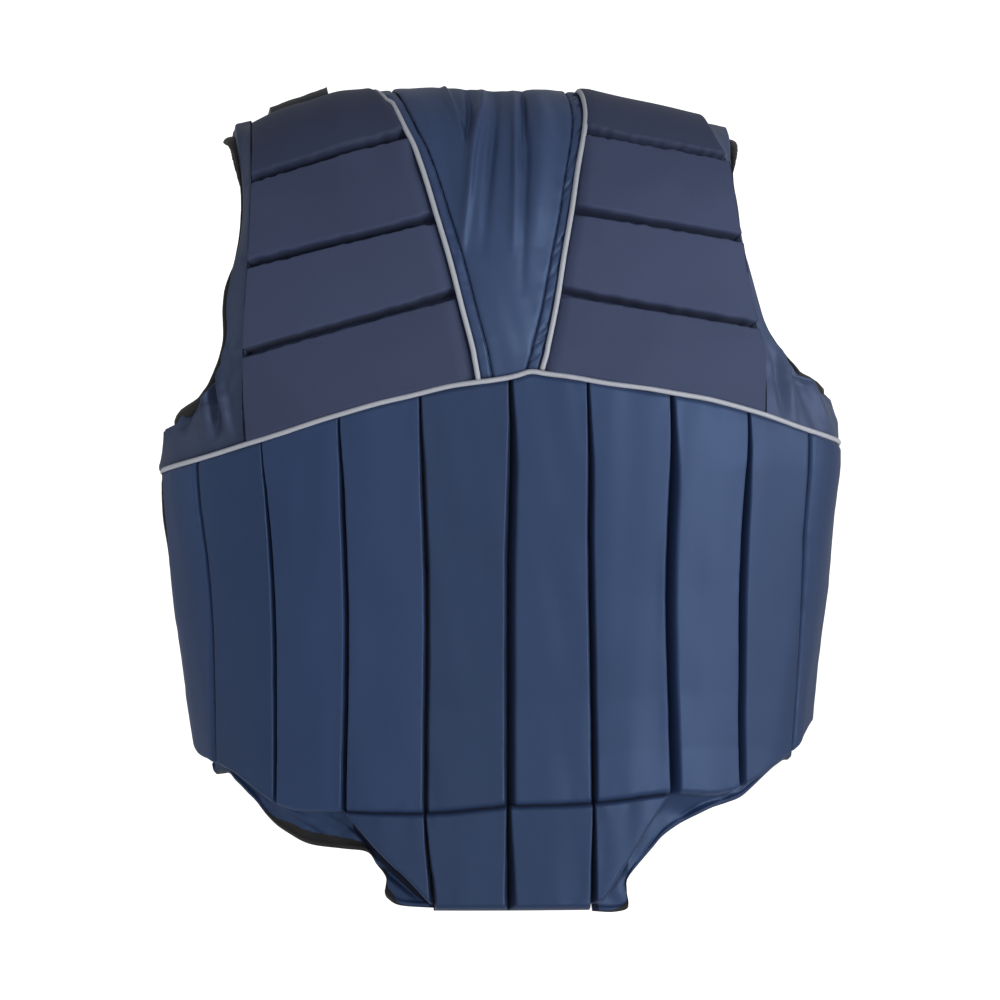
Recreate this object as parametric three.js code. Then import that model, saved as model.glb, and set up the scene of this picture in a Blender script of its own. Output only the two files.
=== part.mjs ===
// A padded body protector for riding, as it is worn: the back faces -Y, the wearer looks along +Y.
// Millimetres, +Z up. The origin lies midway between the shoulders, at the height where they carry it.
import * as THREE from 'three';

// ---- named sizes ----
const HEIGHT = 535;          // from the origin down to the end of the tail
const HALF_WIDTH = 221;      // middle to side, on the wearer's side of the wall
const BACK_DEPTH = 98;       // origin plane to the middle of the back
const FRONT_DEPTH = 106;     // origin plane to the middle of the chest
const PLAN = 2.3;            // roundness of the level section, 2 is an ellipse
const ROLL = 3.2;            // roundness of the roll over the shoulders
const ROLL_BASE = -0.54 * HEIGHT;
const NECK_HALF = 0.31 * HALF_WIDTH;
const CREST = 24.5;           // height of the shoulder crest beside the neck
const CREST_FALL = 0.21;     // fall of the crest per millimetre outward

const FOAM = 20;             // thickness of a padded bar with its cloth
const EDGE = 10;             // width of a bar's rounded shoulder
const CLOTH = 3.2;           // thickness of the unpadded cloth
const SEAM = 0.7;            // gap between neighbouring pieces
const PIPE = 2.1;            // radius of the piping
const PIPE_LIFT = 11.4;
const BIND = 2.4;            // radius of the edge binding
const TAB = 2.4;             // thickness of a shoulder tab
const TAB_LIFT = 1.2;

// how the worn garment sits, a little turned and dropped to one side
const TURN = 0.056;          // radians, chest against waist
const SHIFT = -8;
const LEAN = -0.03;          // further shift per millimetre of height above the shoulder blades
const TILT = 0.05;           // rise per millimetre to the wearer's right
const WAIST_SHIFT = 1.5;
const FLARE = { left: 9, right: 7 };   // the armholes' lower corners stand out

// level sections: share of HEIGHT down, shares of half width, back depth and front depth
const SECTIONS = [
  { down: -0.10, wide: 1.0, back: 1.0, front: 1.0 },
  { down: 0.10, wide: 1.0, back: 1.04, front: 1.0 },
  { down: 0.28, wide: 1.0, back: 1.06, front: 1.04 },
  { down: 0.44, wide: 1.0, back: 1.0, front: 1.02 },
  { down: 0.60, wide: 0.968, back: 0.95, front: 0.95 },
  { down: 0.73, wide: 0.929, back: 0.93, front: 0.93 },
  { down: 0.80, wide: 0.906, back: 0.94, front: 0.95 },
  { down: 0.94, wide: 0.870, back: 1.0, front: 1.0 },
  { down: 1.02, wide: 0.850, back: 1.05, front: 1.02 },
];
// upright seams of the back: share of HEIGHT down, shares of half width out from the middle
const SEAM_LINES = ['middle', 'inner', 'blade', 'flank', 'outer'];
const SEAMS = [
  { down: 0.40, middle: 0, inner: 0.257, blade: 0.500, flank: 0.715, outer: 0.893 },
  { down: 0.60, middle: 0, inner: 0.248, blade: 0.482, flank: 0.690, outer: 0.860 },
  { down: 0.85, middle: 0, inner: 0.249, blade: 0.484, flank: 0.684, outer: 0.815 },
];
// edges of the upper back: share of HEIGHT down, shares of half width out
const YOKE = [
  { down: -0.040, neck: 0.310, side: 0.715, arm: 0.823 },
  { down: -0.017, neck: 0.298, side: 0.717, arm: 0.823 },
  { down: 0.003, neck: 0.282, side: 0.719, arm: 0.812 },
  { down: 0.020, neck: 0.267, side: 0.722, arm: 0.792 },
  { down: 0.041, neck: 0.250, side: 0.725, arm: 0.782 },
  { down: 0.103, neck: 0.213, side: 0.740, arm: 0.780 },
  { down: 0.159, neck: 0.181, side: 0.754, arm: 0.795 },
  { down: 0.224, neck: 0.150, side: 0.770, arm: 0.823 },
  { down: 0.276, neck: 0.122, side: 0.780, arm: 0.852 },
  { down: 0.320, neck: 0.097, side: 0.783, arm: 0.905 },
  { down: 0.360, neck: 0.090, side: 0.780, arm: 0.970 },
  { down: 0.400, neck: 0.090, side: 0.777, arm: 0.993 },
];
// edges of the chest: share of HEIGHT down, shares of half width out
const CHEST = [
  { down: -0.040, neck: 0.310, side: 0.715, arm: 0.823 },
  { down: 0.003, neck: 0.310, side: 0.719, arm: 0.812 },
  { down: 0.060, neck: 0.300, side: 0.700, arm: 0.770 },
  { down: 0.100, neck: 0.270, side: 0.680, arm: 0.745 },
  { down: 0.150, neck: 0.170, side: 0.680, arm: 0.742 },
  { down: 0.180, neck: 0.034, side: 0.690, arm: 0.752 },
  { down: 0.280, neck: 0.034, side: 0.740, arm: 0.810 },
  { down: 0.350, neck: 0.034, side: 0.800, arm: 0.880 },
  { down: 0.400, neck: 0.034, side: 0.860, arm: 0.928 },
];
// lines across the yokes: share of HEIGHT down at the middle, fall per millimetre outward
const YOKE_LINES = [
  { name: 'top', down: 0.004, fall: 0.185 },
  { name: 'blade', down: 0.096, fall: 0.190 },
  { name: 'low', down: 0.194, fall: 0.216 },
];
// the chevron across the back: share of half width out, share of HEIGHT down
const CHEVRON = [
  { out: 0, down: 0.3015 }, { out: 0.10, down: 0.3100 }, { out: 0.243, down: 0.3230 },
  { out: 0.378, down: 0.3350 }, { out: 0.513, down: 0.3480 }, { out: 0.631, down: 0.3600 },
  { out: 0.757, down: 0.3755 }, { out: 0.888, down: 0.3925 }, { out: 1.0, down: 0.4080 },
];
// lower ends of the bars: share of half width out, share of HEIGHT down
const FEET = [
  { out: 0, down: 0.866 }, { out: 0.25, down: 0.866 }, { out: 0.48, down: 0.864 },
  { out: 0.68, down: 0.853 }, { out: 0.83, down: 0.806 }, { out: 0.90, down: 0.784 },
];
// the cloth edge below them, from the side to the tail: its upper line and its lower line
const HEM = [
  { out: 0.884, down: 0.790, edgeOut: 0.884, edgeDown: 0.812 },
  { out: 0.830, down: 0.806, edgeOut: 0.829, edgeDown: 0.834 },
  { out: 0.755, down: 0.830, edgeOut: 0.756, edgeDown: 0.856 },
  { out: 0.680, down: 0.853, edgeOut: 0.676, edgeDown: 0.888 },
  { out: 0.580, down: 0.859, edgeOut: 0.600, edgeDown: 0.905 },
  { out: 0.495, down: 0.864, edgeOut: 0.495, edgeDown: 0.914 },
  { out: 0.455, down: 0.886, edgeOut: 0.431, edgeDown: 0.928 },
  { out: 0.410, down: 0.910, edgeOut: 0.385, edgeDown: 0.952 },
  { out: 0.360, down: 0.936, edgeOut: 0.372, edgeDown: 0.972 },
  { out: 0.314, down: 0.960, edgeOut: 0.352, edgeDown: 0.992 },
  { out: 0.275, down: 0.980, edgeOut: 0.300, edgeDown: 1.000 },
];
const TAIL_SLANT = { top: 0.478, foot: 0.262 };   // shares of half width, outer edge of the tail
const TAIL_END = 0.996;
const SIDE_END = 1.44;       // radians round from the back where the outer bars stop
const FRONT_START = 2.03;    // radians round from the back where the front bars begin
const FRONT_TOP = 0.40;      // shares of HEIGHT down, top and foot of the front bars
const FRONT_FOOT = 0.79;
const FRONT_BARS = 4;
const FRONT_LAP = 0.10;      // the shoulders reach this far down the chest
const UNDERARM = 0.396;
const ZIP_HALF = 0.030;      // radians, half the width of the front fastener
const ZIP_TOP = 0.175;

const NAVY = new THREE.MeshStandardMaterial({ color: 0x1b2c66, roughness: 0.55 });
const MATTE = new THREE.MeshStandardMaterial({ color: 0x161b33, roughness: 0.9 });
const BRIGHT = new THREE.MeshStandardMaterial({ color: 0x1f45b4, roughness: 0.4 });
const GREY = new THREE.MeshStandardMaterial({ color: 0x8d919b, roughness: 0.5 });
const BLACK = new THREE.MeshStandardMaterial({ color: 0x15161b, roughness: 0.8 });

// ---- the worn surface ----
function mix(a, b, t) { return a + (b - a) * t; }
function ease(a, b, v) {
  const t = Math.min(1, Math.max(0, (v - a) / (b - a)));
  return t * t * (3 - 2 * t);
}
function look(table, from, to, at) {
  if (at <= table[0][from]) return table[0][to];
  for (let i = 1; i < table.length; i++) {
    const a = table[i - 1], b = table[i];
    if (at <= b[from]) return mix(a[to], b[to], (at - a[from]) / (b[from] - a[from]));
  }
  return table[table.length - 1][to];
}
function section(key, z) { return look(SECTIONS, 'down', key, -z / HEIGHT); }
function depth(front, z) {
  return front ? FRONT_DEPTH * section('front', z) : BACK_DEPTH * section('back', z);
}
function crestAt(x) { return CREST - Math.max(0, Math.abs(x) - NECK_HALF) * CREST_FALL; }
function settle(x, y, z) {
  const up = ease(-0.44 * HEIGHT, -0.20 * HEIGHT, z), a = TURN * up, out = Math.abs(x) / HALF_WIDTH;
  const foot = ease(0.62, 0.88, out) * ease(-0.70 * HEIGHT, -0.78 * HEIGHT, z);
  const lift = TILT * ease(10, -60, z) * ease(-0.99 * HEIGHT, -0.90 * HEIGHT, z) * (1 - (x < 0 ? 0.5 : 1) * foot);
  const corner = ease(0.7, 0.95, out) * ease(-0.30 * HEIGHT, -0.38 * HEIGHT, z)
    * ease(-0.66 * HEIGHT, -0.42 * HEIGHT, z);
  const shift = mix(WAIST_SHIFT, SHIFT, up) + LEAN * Math.max(0, z + 0.28 * HEIGHT)
    + (x < 0 ? -FLARE.left : FLARE.right) * corner;
  return new THREE.Vector3(x * Math.cos(a) - y * Math.sin(a) + shift,
    x * Math.sin(a) + y * Math.cos(a), z + lift * x);
}
function polar(t, power) {
  return (Math.abs(Math.cos(t)) ** power + Math.abs(Math.sin(t)) ** power) ** (-1 / power);
}
// round the trunk: t is the angle from the middle of the back, z the height
function trunk(t, z) {
  const r = polar(t, PLAN), c = r * Math.cos(t);
  const x = HALF_WIDTH * section('wide', z) * r * Math.sin(t);
  const w = Math.min(1, Math.max(0, (z - ROLL_BASE) / (crestAt(x) - ROLL_BASE)));
  return settle(x, -depth(c < 0, z) * c * (1 - w ** ROLL) ** (1 / ROLL), z);
}
// over a shoulder: x outward, a the angle from low on the back (0) over the crest to the chest (pi)
function over(x, a) {
  const r = polar(a, ROLL), g = r * Math.cos(a), z = heightAt(x, a);
  const share = Math.min(0.9995, Math.abs(x) / (HALF_WIDTH * section('wide', z)));
  return settle(x, -depth(g < 0, z) * (1 - share ** PLAN) ** (1 / PLAN) * g, z);
}
function heightAt(x, a) {
  return ROLL_BASE + polar(a, ROLL) * Math.sin(a) * (crestAt(x) - ROLL_BASE);
}
function angleOut(x, z) {
  const s = Math.min(0.9995, Math.abs(x) / (HALF_WIDTH * section('wide', z)));
  return Math.sign(x) * Math.atan2(s, (1 - s ** PLAN) ** (1 / PLAN));
}
function outAt(t, z) { return HALF_WIDTH * section('wide', z) * polar(t, PLAN) * Math.sin(t); }
function angleOver(x, z) {
  const w = Math.min(1, Math.max(0, (z - ROLL_BASE) / (crestAt(x) - ROLL_BASE)));
  return Math.atan2(w, (1 - w ** ROLL) ** (1 / ROLL));
}
function spot(face, p, q) {
  const ep = face === trunk ? 0.004 : 0.6, eq = face === trunk ? 0.6 : 0.004;
  const normal = face(p + ep, q).sub(face(p - ep, q)).cross(face(p, q + eq).sub(face(p, q - eq)));
  return { point: face(p, q), normal: normal.normalize() };
}

// ---- solids ----
const group = new THREE.Group();
function add(name, cloth, points, faces) {
  const geometry = new THREE.BufferGeometry();
  geometry.setAttribute('position', new THREE.Float32BufferAttribute(points.flatMap((p) => p.toArray()), 3));
  geometry.setIndex(faces.flat());
  geometry.computeVertexNormals();
  const mesh = new THREE.Mesh(geometry, cloth);
  mesh.name = name;
  group.add(mesh);
}
function even(n) { return Array.from({ length: n + 1 }, (_, i) => i / n); }
// even stations along a side, with close ones over the rounded shoulders at its ends
function stations(length, shoulder, inner) {
  const s = Math.min(0.3, shoulder / length);
  const middle = even(inner + 1).slice(1, -1).map((t) => mix(s, 1 - s, t));
  return [0, 0.3 * s, s, ...middle, 1 - s, 1 - 0.3 * s, 1];
}
const SHOULDER = [{ in: 0, high: 0.55 }, { in: 0.3, high: 0.82 }, { in: 1, high: 1 }];
// a padded or plain panel: at(u, v) is a spot of the surface, u across and v along
function panel(name, cloth, at, { low = 0, high = FOAM, shoulder = EDGE, cols = 1, rows = 3 }) {
  const wide = at(0, 0.5).point.distanceTo(at(1, 0.5).point);
  const tall = at(0.5, 0).point.distanceTo(at(0.5, 1).point);
  const us = shoulder ? stations(wide, shoulder, cols) : even(cols);
  const vs = shoulder ? stations(tall, shoulder, rows) : even(rows);
  const rise = (s, length) => (shoulder
    ? look(SHOULDER, 'in', 'high', Math.min(s, 1 - s) * length / Math.min(shoulder, 0.3 * length)) : 1);
  const points = [], nu = us.length, nv = vs.length;
  for (const layer of [0, 1]) {
    for (const v of vs) {
      for (const u of us) {
        const { point, normal } = at(u, v);
        const top = typeof high === 'function' ? high(u, v) : high;
        points.push(point.addScaledVector(normal, layer ? mix(low, top, rise(u, wide) * rise(v, tall)) : low));
      }
    }
  }
  const id = (layer, i, j) => layer * nu * nv + j * nu + i, faces = [];
  const quad = (a, b, c, d) => faces.push([a, b, c], [a, c, d]);
  for (let j = 0; j < nv - 1; j++) {
    for (let i = 0; i < nu - 1; i++) {
      quad(id(1, i, j), id(1, i + 1, j), id(1, i + 1, j + 1), id(1, i, j + 1));
      quad(id(0, i, j), id(0, i, j + 1), id(0, i + 1, j + 1), id(0, i + 1, j));
    }
    quad(id(0, 0, j + 1), id(0, 0, j), id(1, 0, j), id(1, 0, j + 1));
    quad(id(0, nu - 1, j), id(0, nu - 1, j + 1), id(1, nu - 1, j + 1), id(1, nu - 1, j));
  }
  for (let i = 0; i < nu - 1; i++) {
    quad(id(0, i, 0), id(0, i + 1, 0), id(1, i + 1, 0), id(1, i, 0));
    quad(id(0, i + 1, nv - 1), id(0, i, nv - 1), id(1, i, nv - 1), id(1, i + 1, nv - 1));
  }
  const across = at(0.52, 0.5).point.sub(at(0.48, 0.5).point);
  const along = at(0.5, 0.52).point.sub(at(0.5, 0.48).point);
  const flip = across.cross(along).dot(at(0.5, 0.5).normal) < 0;
  add(name, cloth, points, flip ? faces.map(([a, b, c]) => [a, c, b]) : faces);
}
// a cord along spots of the surface, each lifted off it; a closed one runs round to its start
function cord(name, cloth, spots, radius, closed = false, sides = 5) {
  const n = spots.length, points = [], faces = [];
  const path = spots.map(({ point, normal, lift }) => point.clone().addScaledVector(normal, lift));
  path.forEach((p, i) => {
    const next = closed ? path[(i + 1) % n] : path[Math.min(i + 1, n - 1)];
    const back = closed ? path[(i + n - 1) % n] : path[Math.max(i - 1, 0)];
    const ahead = next.clone().sub(back).normalize();
    const out = spots[i].normal.clone().addScaledVector(ahead, -spots[i].normal.dot(ahead)).normalize();
    const side = out.clone().cross(ahead);
    for (let k = 0; k < sides; k++) {
      const a = 2 * Math.PI * (k + 0.5) / sides;
      points.push(p.clone().addScaledVector(side, radius * Math.cos(a)).addScaledVector(out, radius * Math.sin(a)));
    }
  });
  for (let i = 0; i < (closed ? n : n - 1); i++) {
    for (let k = 0; k < sides; k++) {
      const a = i * sides + k, b = i * sides + (k + 1) % sides;
      const c = ((i + 1) % n) * sides + k, d = ((i + 1) % n) * sides + (k + 1) % sides;
      faces.push([a, b, c], [b, d, c]);
    }
  }
  const last = (n - 1) * sides;
  for (let k = 1; k < sides - 1 && !closed; k++) faces.push([0, k + 1, k], [last, last + k, last + k + 1]);
  add(name, cloth, points, faces);
}

// ---- seams and edges ----
function seamAngle(i, z) {
  return i < SEAM_LINES.length
    ? angleOut(HALF_WIDTH * look(SEAMS, 'down', SEAM_LINES[i], -z / HEIGHT), z) : SIDE_END;
}
function onLine(table, x) { return -HEIGHT * look(table, 'out', 'down', Math.abs(x) / HALF_WIDTH); }
function yokeLine(i, x) { return -HEIGHT * YOKE_LINES[i].down - YOKE_LINES[i].fall * Math.abs(x); }
// distance out of an upper edge, at an angle over the shoulder
function edgeOver(key, a) {
  let x = HALF_WIDTH * 0.5;
  for (let i = 0; i < 4; i++) {
    x = HALF_WIDTH * look(a > Math.PI / 2 ? CHEST : YOKE, 'down', key, -heightAt(x, a) / HEIGHT);
  }
  return x;
}
const BIND_LIFT = [
  { along: 0, lift: 13 }, { along: 0.05, lift: 8 }, { along: 0.12, lift: 2.4 }, { along: 0.4, lift: 2.4 },
  { along: 0.48, lift: 9 }, { along: 0.56, lift: 7 }, { along: 0.7, lift: 2.4 },
];
function bindLift(v) { return look(BIND_LIFT, 'along', 'lift', v); }
const SIDES = [{ word: 'left', sign: -1 }, { word: 'right', sign: 1 }];
const GAP_TURN = SEAM / 2 / HALF_WIDTH;
const PIPE_GAP = PIPE + 0.45;
const BIND_GAP = BIND + 3;
// the gussets' thickness from the chevron over the shoulder
const GUSSET = [
  { along: 0, high: 0.75 }, { along: 0.06, high: 0.62 }, { along: 0.2, high: 0.24 },
  { along: 0.42, high: 0.3 }, { along: 0.50, high: 0.6 }, { along: 0.8, high: 0.5 }, { along: 1, high: 0.3 },
];
function gussetHigh(v) { return FOAM * look(GUSSET, 'along', 'high', v); }
const LAP_TOP = (x) => Math.PI - angleOver(x, -FRONT_LAP * HEIGHT);

for (const { word, sign } of SIDES) {
  // padded bars of the lower back, numbered from the wearer's left
  for (let k = 0; k < 5; k++) {
    const near = (z) => seamAngle(k, z) + GAP_TURN, far = (z) => seamAngle(k + 1, z) - GAP_TURN;
    const endAt = (table, u, z) => {
      for (let i = 0; i < 6; i++) z = onLine(table, outAt(mix(near(z), far(z), u), z));
      return z;
    };
    panel(`back_bar_${sign < 0 ? 5 - k : 6 + k}`, NAVY, (u, v) => {
      const z = mix(endAt(FEET, u, -0.8 * HEIGHT), endAt(CHEVRON, u, -0.35 * HEIGHT) - PIPE_GAP, v);
      return spot(trunk, sign * mix(near(z), far(z), u), z);
    }, { rows: 4 });
  }
  // short bars of the tail, the outer one cut to a point
  for (let k = 0; k < 2; k++) {
    panel(`tail_bar_${sign < 0 ? 2 - k : 3 + k}`, NAVY, (u, v) => {
      const z = mix(-HEIGHT * (k ? 0.980 : TAIL_END), -HEIGHT * 0.866 - SEAM, v);
      const far = k ? angleOut(HALF_WIDTH * mix(TAIL_SLANT.foot, TAIL_SLANT.top, v), z) : seamAngle(1, z);
      return spot(trunk, sign * mix(seamAngle(k, z) + GAP_TURN, far - GAP_TURN, u), z);
    }, { rows: 1 });
  }
  // yoke over the shoulder blade, its top bar carried over the shoulder
  for (let k = 0; k < 4; k++) {
    const lowAt = (x) => (k < 3 ? yokeLine(k, x) + SEAM / 2 : onLine(CHEVRON, x) + PIPE_GAP);
    const topAt = (x) => (k ? angleOver(x, yokeLine(k - 1, x) - SEAM / 2) : LAP_TOP(x));
    panel(`yoke_${word}_bar_${k + 1}`, MATTE, (u, v) => {
      let x = HALF_WIDTH * mix(0.2, 0.75, u), a = 0;
      for (let i = 0; i < 5; i++) {
        a = mix(angleOver(x, lowAt(x)), topAt(x), v);
        x = mix(edgeOver('neck', a) + PIPE_GAP, edgeOver('side', a) - SEAM / 2, u);
      }
      return spot(over, sign * x, a);
    }, { cols: 2, rows: k ? 1 : 9 });
  }
  // thin cloth between the yoke and the armhole, fuller where it meets the outer bars
  panel(`armhole_gusset_${word}`, BRIGHT, (u, v) => {
    let x = HALF_WIDTH * mix(0.78, 0.96, u), a = 0;
    for (let i = 0; i < 5; i++) {
      a = mix(angleOver(x, onLine(CHEVRON, x) + PIPE_GAP), LAP_TOP(x), v);
      x = mix(edgeOver('side', a) + SEAM / 2, edgeOver('arm', a) - BIND_GAP, u);
    }
    return spot(over, sign * x, a);
  }, { shoulder: 0, cols: 3, rows: 22, high: (u, v) => gussetHigh(v) });
  // piping down the side of the V
  cord(`piping_neck_${word}`, GREY, even(9).map((v) => {
    const a = mix(angleOver(24, onLine(CHEVRON, 24) + 2 * PIPE + SEAM), angleOver(NECK_HALF, CREST - 1.5), v);
    return { ...spot(over, sign * edgeOver('neck', a), a), lift: PIPE_LIFT };
  }), PIPE);
  // cloth edge below the bars, down to the tail
  panel(`hem_${word}`, NAVY, (u, v) => {
    const row = v * (HEM.length - 1), i = Math.min(HEM.length - 2, Math.floor(row));
    const pick = (key) => mix(HEM[i][key], HEM[i + 1][key], row - i);
    const z = -HEIGHT * mix(pick('down'), pick('edgeDown'), u) - SEAM * (1 - u);
    const t = angleOut(HALF_WIDTH * mix(pick('out'), pick('edgeOut'), u), z);
    return spot(trunk, sign * Math.min(SIDE_END, t + 0.004 * (1 - u)), z);
  }, { shoulder: 0, cols: 2, rows: 10, high: CLOTH });
  // mesh side between back and front
  panel(`side_panel_${word}`, BLACK, (u, v) => spot(trunk,
    sign * mix(SIDE_END + 3 * GAP_TURN, FRONT_START - 3 * GAP_TURN, u),
    -HEIGHT * mix(0.785, UNDERARM, v) - (BIND + SEAM) * v),
  { shoulder: 0, cols: 4, rows: 9, high: CLOTH + 1 });
  // front, plain: upright bars below, one padded panel over each side of the chest
  for (let k = 0; k < FRONT_BARS; k++) {
    const turn = (i) => mix(FRONT_START, Math.PI - ZIP_HALF, i / FRONT_BARS);
    panel(`front_${word}_bar_${k + 1}`, NAVY, (u, v) => spot(trunk,
      sign * mix(turn(k) + GAP_TURN, turn(k + 1) - GAP_TURN, u),
      -HEIGHT * mix(FRONT_FOOT, FRONT_TOP, v) - SEAM * v), { rows: 2 });
  }
  panel(`front_yoke_${word}`, MATTE, (u, v) => {
    let x = HALF_WIDTH * 0.5, a = 0;
    for (let i = 0; i < 5; i++) {
      a = Math.PI - angleOver(x, -HEIGHT * mix(FRONT_TOP, FRONT_LAP, v) + SEAM * (1 - 2 * v));
      x = mix(edgeOver('neck', a), edgeOver('arm', a) - BIND_GAP, u);
    }
    return spot(over, sign * x, a);
  }, { cols: 2, rows: 3 });
  // hook-and-loop tab on the shoulder; the left one stands up behind the crest
  panel(`shoulder_tab_${word}`, BLACK, (u, v) => spot(over,
    sign * HALF_WIDTH * mix(0.54, 0.70, u), mix(sign < 0 ? 1.50 : 1.62, 2.25, v)),
  { shoulder: 0, cols: 3, rows: 8, low: FOAM + TAB_LIFT, high: FOAM + TAB_LIFT + TAB });
  // binding round the armhole: up the back, over the shoulder, down the chest, under the arm
  const start = angleOver(HALF_WIDTH * 0.98, -0.385 * HEIGHT), end = Math.PI - start;
  const loop = even(34).map((v) => {
    const a = mix(start, end, v);
    return { ...spot(over, sign * edgeOver('arm', a), a), lift: bindLift(v) };
  });
  const under = even(6).slice(0, -1).map((v) => ({
    ...spot(trunk, sign * mix(FRONT_START - 0.02, SIDE_END, v), -UNDERARM * HEIGHT),
    lift: mix(BIND, bindLift(0), ease(0.6, 1, v)),
  }));
  const ring = [...loop, ...under];
  cord(`binding_${word}`, BLACK, sign < 0 ? ring : ring.reverse(), BIND, true);
}
// the V panel, from the chevron up to the back of the neck
panel('neck_panel', BRIGHT, (u, v) => {
  let x = 0, a = 0;
  for (let i = 0; i < 5; i++) {
    a = mix(angleOver(x, onLine(CHEVRON, x) + PIPE_GAP), angleOver(x, CREST - 2 - 3 * (1 - (2 * u - 1) ** 2)), v);
    const half = edgeOver('neck', a) - PIPE_GAP;
    x = mix(-half, half, u);
  }
  return spot(over, x, a);
}, { high: FOAM - 1, cols: 3, rows: 5 });
// piping along the chevron
cord('piping_chevron', GREY, even(36).map((v) => {
  const x = mix(-0.975, 0.975, v) * HALF_WIDTH, z = onLine(CHEVRON, x);
  return { ...spot(trunk, angleOut(x, z), z), lift: PIPE_LIFT };
}), PIPE);
// front fastener
panel('front_zip', BLACK, (u, v) => spot(trunk, Math.PI + mix(-1, 1, u) * (ZIP_HALF - 2 * GAP_TURN),
  -HEIGHT * mix(FRONT_FOOT, ZIP_TOP, v)), { shoulder: 0, cols: 2, rows: 10, high: 8 });

export default group;
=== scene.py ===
"""Looks of a padded riding body protector, seen from behind as it is worn.

Each CAD solid is replaced by a finely meshed piece that lies on the same worn surface: quilted foam bars,
yokes, the V panel, gussets, piping, binding, hem and front. Sizes are millimetres, and meshes are metres.
"""
import math

import bpy
import numpy as np
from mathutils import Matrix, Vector


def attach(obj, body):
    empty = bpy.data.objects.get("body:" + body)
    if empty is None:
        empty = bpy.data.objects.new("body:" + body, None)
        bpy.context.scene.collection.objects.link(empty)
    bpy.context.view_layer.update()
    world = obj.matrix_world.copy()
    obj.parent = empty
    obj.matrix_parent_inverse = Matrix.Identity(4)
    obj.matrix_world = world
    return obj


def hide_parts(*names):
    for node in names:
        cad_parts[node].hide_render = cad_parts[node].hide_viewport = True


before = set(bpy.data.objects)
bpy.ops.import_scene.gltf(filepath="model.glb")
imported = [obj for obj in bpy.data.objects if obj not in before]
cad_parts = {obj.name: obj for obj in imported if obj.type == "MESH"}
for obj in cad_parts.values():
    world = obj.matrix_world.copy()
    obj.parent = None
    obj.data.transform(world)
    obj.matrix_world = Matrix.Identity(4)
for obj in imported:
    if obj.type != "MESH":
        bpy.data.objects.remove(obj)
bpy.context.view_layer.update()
MM = 0.001

# Sizes shared with the solids, and the few that only the looks need.
HEIGHT = 535.0                # from the shoulders to the tail's foot
HALF_WIDTH = 221.0
BACK_DEPTH = 98.0             # how far the back and the front stand off the middle plane
FRONT_DEPTH = 106.0
PLAN, ROLL = 2.3, 3.2         # how square the plan is, and the roll over the shoulders
ROLL_BASE = -0.54 * HEIGHT    # where that roll starts
NECK_HALF = 0.31 * HALF_WIDTH
CREST, CREST_FALL = 24.5, 0.21     # the crest's height beside the neck, and its fall toward the arm
FOAM = 20.0
CLOTH = 3.2
LAP = 0.35                    # neighbouring pieces run this far into each other, so no light passes
PIPE, PIPE_LIFT = 1.8, 18.4   # half the piping's breadth, and its height off the surface
BIND = 2.4                    # half the breadth of the armhole tape on the hidden side
TAB, TAB_END = 2.4, 2.25      # a shoulder tab's thickness, and the angle over the shoulder where it ends
# how the vest sits: turned, shifted and leaning at the shoulders, shifted at the waist, and tilted
TURN, SHIFT, LEAN, WAIST_SHIFT, TILT = 0.056, -8.0, -0.03, 1.5, 0.05
FLARE_LEFT, FLARE_RIGHT = 9.0, 7.0      # how far the corners under the arms stand out
TAIL_ENDS, TAIL_TOP = (0.996, 0.988), 0.860      # feet of the inner and outer tail bars, and their top
# the outer tail bars' slanting edges, at the foot and at the top
TAIL_EDGE = {"left": (0.237, 0.495), "right": (0.277, 0.488)}
# angles round the trunk from the middle of the back, then heights as shares of HEIGHT
SIDE_END, FRONT_START, ZIP_HALF = 1.44, 2.03, 0.030
FRONT_TOP, FRONT_FOOT, FRONT_LAP, UNDERARM, ZIP_TOP = 0.40, 0.79, 0.10, 0.378, 0.175
FRONT_BARS = 4

# Tables, one column to a key. down is a share of HEIGHT, and the rest are shares of HALF_WIDTH or of a
# depth. The rows were read off the photo at chosen places.
SECTIONS = {
    "down": (-0.10, 0.10, 0.28, 0.44, 0.60, 0.73, 0.80, 0.94, 1.02),
    "wide": (1.0, 1.0, 1.0, 1.0, 0.968, 0.929, 0.906, 0.870, 0.850),
    "back": (1.0, 1.04, 1.06, 1.0, 0.95, 0.93, 0.94, 1.0, 1.05),
    "front": (1.0, 1.0, 1.04, 1.02, 0.95, 0.93, 0.95, 1.0, 1.02),
}
SEAM_LINES = ("middle", "inner", "blade", "flank", "outer")
SEAMS = {
    "left": {
        "down": (0.37, 0.40, 0.535, 0.60, 0.70, 0.80, 0.87, 0.99),
        "middle": (-0.006, -0.004, 0.004, 0.005, 0.005, 0.005, 0.005, 0.005),
        "inner": (0.266, 0.265, 0.256, 0.253, 0.253, 0.254, 0.254, 0.231),
        "blade": (0.508, 0.506, 0.494, 0.490, 0.491, 0.493, 0.493, 0.493),
        "flank": (0.735, 0.732, 0.707, 0.699, 0.695, 0.691, 0.690, 0.690),
        "outer": (0.886, 0.888, 0.873, 0.869, 0.861, 0.851, 0.842, 0.842),
    },
    "right": {
        "down": (0.37, 0.40, 0.535, 0.60, 0.70, 0.80, 0.87, 0.99),
        "middle": (0.006, 0.004, -0.004, -0.005, -0.005, -0.005, -0.005, -0.005),
        "inner": (0.242, 0.243, 0.245, 0.247, 0.251, 0.254, 0.255, 0.249),
        "blade": (0.494, 0.494, 0.483, 0.482, 0.486, 0.491, 0.493, 0.493),
        "flank": (0.727, 0.726, 0.707, 0.702, 0.700, 0.697, 0.698, 0.698),
        "outer": (0.886, 0.887, 0.880, 0.882, 0.870, 0.848, 0.834, 0.834),
    },
}
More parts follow.
